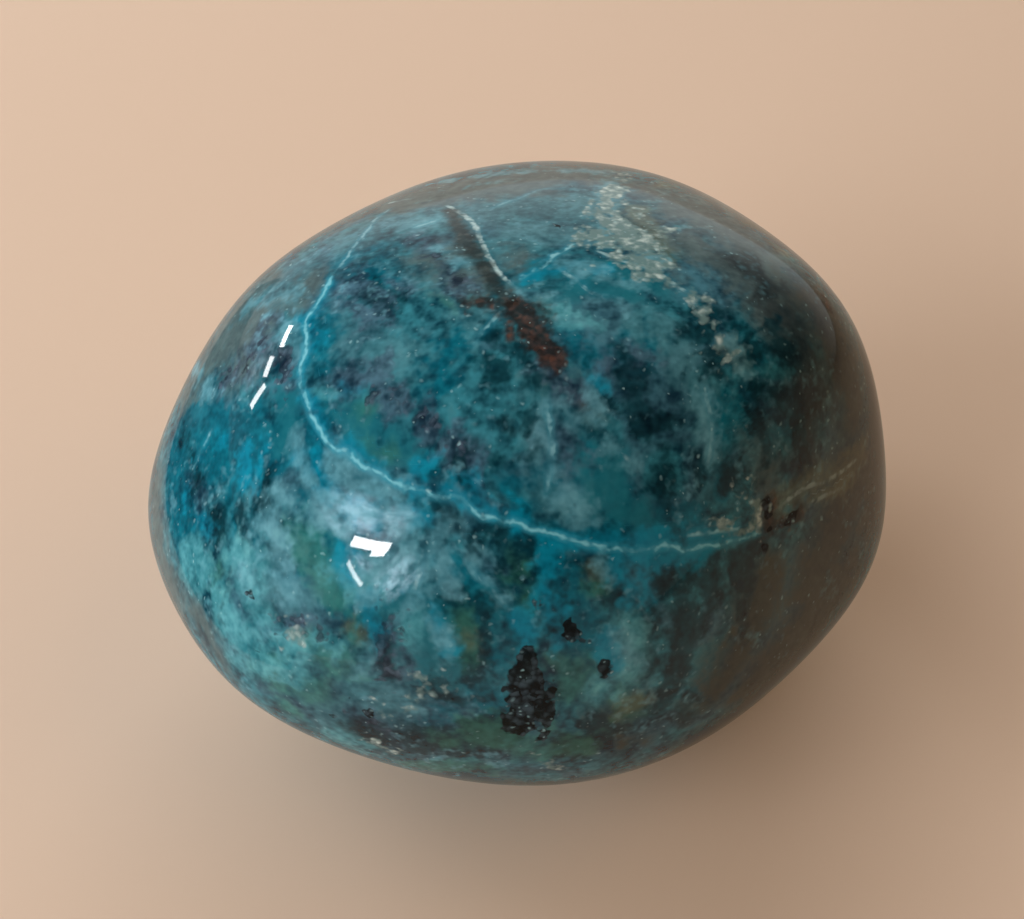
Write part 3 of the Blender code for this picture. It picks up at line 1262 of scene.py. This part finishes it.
def lay_deep_minerals(tree, rock, colours, tones):
    """Lays each mineral in the depth over what lies under it. Returns the colour and how grainy it is."""
    graininess = 1.0
    for index, mineral in enumerate(DEEP_MINERALS):
        noises = (index + 1) % 3
        mask = mineral_mask(tree, mineral, rock.streaks[noises], rock.grain[noises])
        tones = blend_toward(tree, tones, mask, *tones_of(mineral, colours))
        graininess = mixed_number(tree, mask, graininess, mineral.grain)
    swing = rock.clouds[0] * 0.05 + rock.streaks[0] * 0.10 + rock.grain[0] * 0.11
    tone = 0.46 + swing * graininess
    return mixed(tree, tone.rise(0.0, 1.0), *tones), graininess


def lay_puffs_and_hollows(tree, rock, colours, base, graininess):
    """Lays milky puffs and deep clear spots over everything so far."""
    milky = rock.streaks[1] * 0.38 + rock.grain[1] * 0.6 + rock.clouds[2] * 0.3
    base = mixed(tree, milky.rise(0.5, 2.7, 0.0, 0.5) * graininess, base, opaque(colours.puff))
    clear = rock.streaks[2] * 0.45 + rock.grain[2] * 0.55 - rock.clouds[2] * 0.2
    return mixed(tree, clear.rise(0.4, 2.6, 0.0, 0.65) * graininess, base, opaque(colours.hollow))


HALO_MM = 0.60  # how far from the middle of a vein each of its parts reaches
GLOW_MM = 0.26
CORE_MM = 0.01


def lay_veins(tree, rock, colours, base, index):
    """Lays a family of veins: a cyan halo, stronger on one side, a milky glow, and a thin core with gaps."""
    clouds, streaks, grain = rock.clouds, rock.streaks, rock.grain
    across, strength, whiteness = triple(tree, f"vein_{index}")
    wander = (streaks[index] * 0.035 + grain[index] * 0.026) * (1.0 - whiteness * 0.5)
    away = abs(across + wander)
    beads = (streaks[2 - index] * 0.5 + grain[2 - index] * 0.6).rise(-1.2, 1.1, 0.3, 1.0) * strength
    patches = (clouds[2] * 0.4 + streaks[0] * 0.5).rise(-1.0, 0.8, 0.2, 0.95) * strength
    one_side = across.rise(-0.15, 0.15, 1.0, 0.3)
    halo = (1.0 - away.rise(0.0, HALO_MM)) * one_side * patches * (1.0 - whiteness)
    base = mixed(tree, halo, base, opaque(colours.vein_halo))
    glow = away.rise(0.0, GLOW_MM, 0.95, 0.0) * beads * (1.15 - whiteness)
    base = mixed(tree, glow, base, opaque(colours.vein_glow))
    seam = mixed(tree, whiteness, opaque(colours.vein_cyan), opaque(colours.vein_white))
    width = CORE_MM + strength * 0.025 + whiteness * 0.05 + grain[1] * 0.012
    core = (width - away).rise(-0.06, 0.04, 0.0, 0.9) * beads.rise(0.1, 0.95)
    return mixed(tree, core, base, seam)


def lay_surface_minerals(tree, rock, colours, base, graininess):
    """Lays each mineral at the surface over the rest. Returns the colour, how dull it is and how grainy."""
    dull = 0.0
    lumps = 0.8 - rock.to_middle * 2.4
    roundness = 1.25 - rock.to_middle * 1.2
    for index, mineral in enumerate(SURFACE_MINERALS):
        fine = rock.grain[(index + 1) % 3] + lumps
        mask = mineral_mask(tree, mineral, rock.streaks[index % 3], fine)
        facets = rock.facet * roundness * (0.3 * mineral.grain)
        tone = facets + rock.streaks[1] * 0.08 + rock.grain[0] * 0.16
        tones = [opaque(tone_colour) for tone_colour in tones_of(mineral, colours)]
        base = mixed(tree, mask, base, mixed(tree, tone.rise(0.0, 0.9), *tones))
        dull = mixed_number(tree, mask, dull, mineral.dullness)
        graininess = mixed_number(tree, mask, graininess, mineral.grain)
    return base, dull, graininess


def lay_specks(tree, rock, colours, base, graininess):
    """Lays pale grains, from faint to bright, more of them where the stone is grainy."""
    bright = (rock.chance + rock.clouds[2] * 0.06 + graininess * 0.13).rise(0.75, 1.3)
    speck = rock.to_middle.rise(0.0, 0.16 + rock.size * 0.30, 1.0, 0.0) * bright
    return mixed(tree, speck * 0.7, base, opaque(colours.speck))


BODY_ROUGHNESS = 0.35
DULL_ROUGHNESS = 0.4  # what dullness adds to it
GLOSS = 0.65
SWELLS_PER_MM = 1.4
SWELL_MM = 0.03


def polish(tree, shader, in_mm, dull):
    """A clear gloss over a satin body, less of it on dull minerals, with the swell that polishing leaves."""
    shader.inputs["IOR"].default_value = 1.5
    shader.inputs["Specular IOR Level"].default_value = 0.0
    shader.inputs["Coat Roughness"].default_value = 0.03
    roughness = BODY_ROUGHNESS + dull * DULL_ROUGHNESS
    tree.links.new(roughness.socket, shader.inputs["Roughness"])
    coat = GLOSS - dull * GLOSS
    tree.links.new(coat.socket, shader.inputs["Coat Weight"])
    values = {"Vector": in_mm, "Scale": SWELLS_PER_MM, "Detail": 1.0}
    swell = node(tree, "ShaderNodeTexNoise", {}, values)
    values = {"Height": swell, "Strength": 0.3, "Distance": SWELL_MM * MM}
    bump = node(tree, "ShaderNodeBump", {}, values, output="Normal")
    tree.links.new(bump.socket, shader.inputs["Normal"])


def chrysocolla_material(name, colours):
    """The polished stone. One grain runs through it, from a dark tone to a light one that minerals set."""
    material = bpy.data.materials.new(name)
    material.use_nodes = True
    tree = material.node_tree
    shader = tree.nodes["Principled BSDF"]
    in_metres = node(tree, "ShaderNodeTexCoord", {}, {}, output="Object")
    values = {"Vector": in_metres, "Scale": 1.0 / MM}
    in_mm = node(tree, "ShaderNodeVectorMath", {"operation": "SCALE"}, values)
    rock = grown_rock(tree, in_mm)
    tones = ground_tones(tree, rock, colours)
    base, graininess = lay_deep_minerals(tree, rock, colours, tones)
    base = lay_puffs_and_hollows(tree, rock, colours, base, graininess)
    for index in range(len(VEIN_FAMILIES)):
        base = lay_veins(tree, rock, colours, base, index)
    base, dull, graininess = lay_surface_minerals(tree, rock, colours, base, graininess)
    base = lay_specks(tree, rock, colours, base, graininess)
    tree.links.new(base.socket, shader.inputs["Base Color"])
    polish(tree, shader, in_mm, dull)
    return material


# --------------------------------------------------------------------------------------------------
# Operators


class PEBBLE_OT_stone(bpy.types.Operator):
    """Builds the pebble's skin, lays its minerals and veins on it and polishes it"""

    bl_idname = "pebble.stone"
    bl_label = "Tumbled stone"

    def execute(self, context):
        shape, stage = context.scene.pebble_shape, context.scene.pebble_stage
        mesh = globe("stone_skin", shape.segments)
        surface = worn_surface(vectors_of(mesh.vertices, "co"), shape)
        set_points(mesh, stand_in_box(surface, shape.foot_wear))
        mesh.shade_smooth()
        skin = Skin(mesh, view_camera(stage))
        fields = mineral_fields(skin)
        for name, depths in fields.items():
            store_float(mesh, name, depths)
        for name, values in zip(("clouds", "streaks"), growth(skin.points, shape), strict=True):
            store_vector(mesh, name, values)
        for index, veins in enumerate(VEIN_FAMILIES):
            store_vector(mesh, f"vein_{index}", vein_field(skin, veins))
        mesh.materials.append(chrysocolla_material("polished chrysocolla", context.scene.pebble_colours))
        stone = bpy.data.objects.new("stone_skin", mesh)
        context.scene.collection.objects.link(stone)
        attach(stone, "root")
        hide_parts(NODE)
        return {"FINISHED"}


def aim_at(thing, target):
    """Turns a lamp or camera so that it looks at a point."""
    thing.rotation_euler = (Vector(target) - thing.location).to_track_quat("-Z", "Y").to_euler()


def area_lamp(name, place, size, power):
    """A rectangular lamp at this place that looks at the stone."""
    lamp = bpy.data.lights.new(name, "AREA")
    lamp.shape = "RECTANGLE"
    lamp.size, lamp.size_y = size
    lamp.energy = power
    thing = bpy.data.objects.new(name, lamp)
    bpy.context.scene.collection.objects.link(thing)
    thing.location = place
    aim_at(thing, AIM)
    return thing


def cloudy(lamp):
    """Fades a lamp's light towards its edges and breaks it up with clouds."""
    lamp.use_nodes = True
    tree = lamp.node_tree
    place = node(tree, "ShaderNodeNewGeometry", {}, {}, output="Parametric")
    across, up, _ = place.parts()
    fade = across * (1.0 - across) * up * (1.0 - up) * 16.0  # 1 in the middle
    values = {"Vector": place, "Scale": 4.0, "Detail": 3.0, "Roughness": 0.6}
    clouds = node(tree, "ShaderNodeTexNoise", {}, values).rise(0.35, 0.65, 0.1, 1.6)
    strength = fade * clouds
    tree.links.new(strength.socket, tree.nodes["Emission"].inputs["Strength"])


def pane_lamp(pane, stage):
    """A lamp for a pane: it lights nothing, and shows only in the polish."""
    away = direction(pane.compass, pane.rise)
    across = Vector((0, 0, 1)).cross(away).normalized()
    up = away.cross(across)
    place = AIM + away * PANE_DISTANCE + (across * pane.across_mm + up * pane.up_mm) * MM
    wide, high = pane.length_mm * MM, pane.height_mm * MM
    glint = pane.share * (stage.sky_glint if pane.sky else stage.glint)
    thing = area_lamp("pane", place, (wide, high), glint * math.pi * wide * high)
    turn = math.radians(pane.turn)
    right = across * math.cos(turn) + up * math.sin(turn)
    thing.rotation_euler = Matrix((right, away.cross(right), away)).transposed().to_euler()
    thing.visible_diffuse = False
    if pane.sky:
        thing.data.color = stage.sky_colour
        cloudy(thing.data)


def sheet(scene, name, corners, finish, tint, roughness):
    """A flat sheet with four corners and one plain finish."""
    mesh = bpy.data.meshes.new(name)
    mesh.from_pydata(corners, [], [(0, 1, 2, 3)])
    material = bpy.data.materials.new(finish)
    material.use_nodes = True
    shader = material.node_tree.nodes["Principled BSDF"]
    shader.inputs["Base Color"].default_value = tint
    shader.inputs["Roughness"].default_value = roughness
    mesh.materials.append(material)
    thing = bpy.data.objects.new(name, mesh)
    scene.collection.objects.link(thing)
    return thing


CARD_COLOUR = (0.12, 0.10, 0.08, 1.0)


class PEBBLE_OT_stage(bpy.types.Operator):
    """Sets the floor, the soft studio light and the camera"""

    bl_idname = "pebble.stage"
    bl_label = "Stage"

    def execute(self, context):
        scene, stage = context.scene, context.scene.pebble_stage
        self.floor(scene, stage)
        self.card(scene, stage)
        self.room(scene, stage)
        self.lamps(stage)
        self.camera(scene, stage)
        scene.view_settings.view_transform = "Standard"
        return {"FINISHED"}

    def floor(self, scene, stage):
        half = stage.floor_width / 2
        corners = [(-half, -half, 0), (half, -half, 0), (half, half, 0), (-half, half, 0)]
        floor = sheet(scene, "floor", corners, "pale floor", opaque(stage.floor_colour), 0.8)

    def card(self, scene, stage):
        """A low dark card left of the view that only the polish mirrors."""
        foot, far, height = stage.card_foot, stage.card_far, stage.card_height
        corners = [(*foot, 0), (*far, 0), (*far, height), (*foot, height)]
        card = sheet(scene, "card", corners, "dark card", CARD_COLOUR, 0.5)
        card.visible_camera = card.visible_diffuse = card.visible_shadow = False

    def room(self, scene, stage):
        """What the polish mirrors past the windows: walls, lighter behind, and a dim room above."""
        world = bpy.data.worlds.new("room")
        world.use_nodes = True
        tree = world.node_tree
        _, behind, up = node(tree, "ShaderNodeTexCoord", {}, {}, output="Generated").parts()
        wall = mixed(tree, behind.rise(0.2, 0.9), opaque(stage.side_colour), opaque(stage.wall_colour))
        shade = mixed(tree, up.rise(0.0, stage.wall_top), wall, opaque(stage.dim_colour))
        tree.links.new(shade.socket, tree.nodes["Background"].inputs["Color"])
        world.cycles_visibility.diffuse = False
        scene.world = world

    def lamps(self, stage):
        for box in SOFTBOXES:
            place = AIM + direction(box.compass, box.rise) * box.away_mm * MM
            watts = box.watts * stage.light_level
            lamp = area_lamp(box.name, place, (box.width_mm * MM, box.height_mm * MM), watts)
            lamp.data.color = stage.room_colour if box.of_room else stage.window_colour
            lamp.visible_glossy = False
        for pane in PANES:
            pane_lamp(pane, stage)

    def camera(self, scene, stage):
        lens = bpy.data.cameras.new("camera")
        lens.lens = stage.lens
        lens.sensor_width = SENSOR_MM
        lens.clip_start = 0.001
        thing = bpy.data.objects.new("camera", lens)
        scene.collection.objects.link(thing)
        thing.location = view_camera(stage).place
        aim_at(thing, stage.aim)
        scene.camera = thing


class PEBBLE_PT_panel(bpy.types.Panel):
    """Lists the pebble's settings and operators"""

    bl_label = "Tumbled stone"
    bl_idname = "PEBBLE_PT_panel"
    bl_space_type = "VIEW_3D"
    bl_region_type = "UI"
    bl_category = "Stone"

    def draw(self, context):
        layout = self.layout
        scene = context.scene
        for settings in (scene.pebble_shape, scene.pebble_colours, scene.pebble_stage):
            box = layout.box()
            for name in settings.__annotations__:
                box.prop(settings, name)
        layout.operator(PEBBLE_OT_stone.bl_idname)
        layout.operator(PEBBLE_OT_stage.bl_idname)


CLASSES = (PebbleShape, PebbleColours, PebbleStage, PEBBLE_OT_stone, PEBBLE_OT_stage, PEBBLE_PT_panel)
SETTINGS = {"pebble_shape": PebbleShape, "pebble_colours": PebbleColours, "pebble_stage": PebbleStage}


def register():
    for each in CLASSES:
        bpy.utils.register_class(each)
    for name, group in SETTINGS.items():
        setattr(bpy.types.Scene, name, bpy.props.PointerProperty(type=group))


def unregister():
    for name in SETTINGS:
        delattr(bpy.types.Scene, name)
    for each in reversed(CLASSES):
        bpy.utils.unregister_class(each)


def main():
    register()
    bpy.ops.pebble.stage()
    bpy.ops.pebble.stone()


if __name__ == "__main__":
    main()
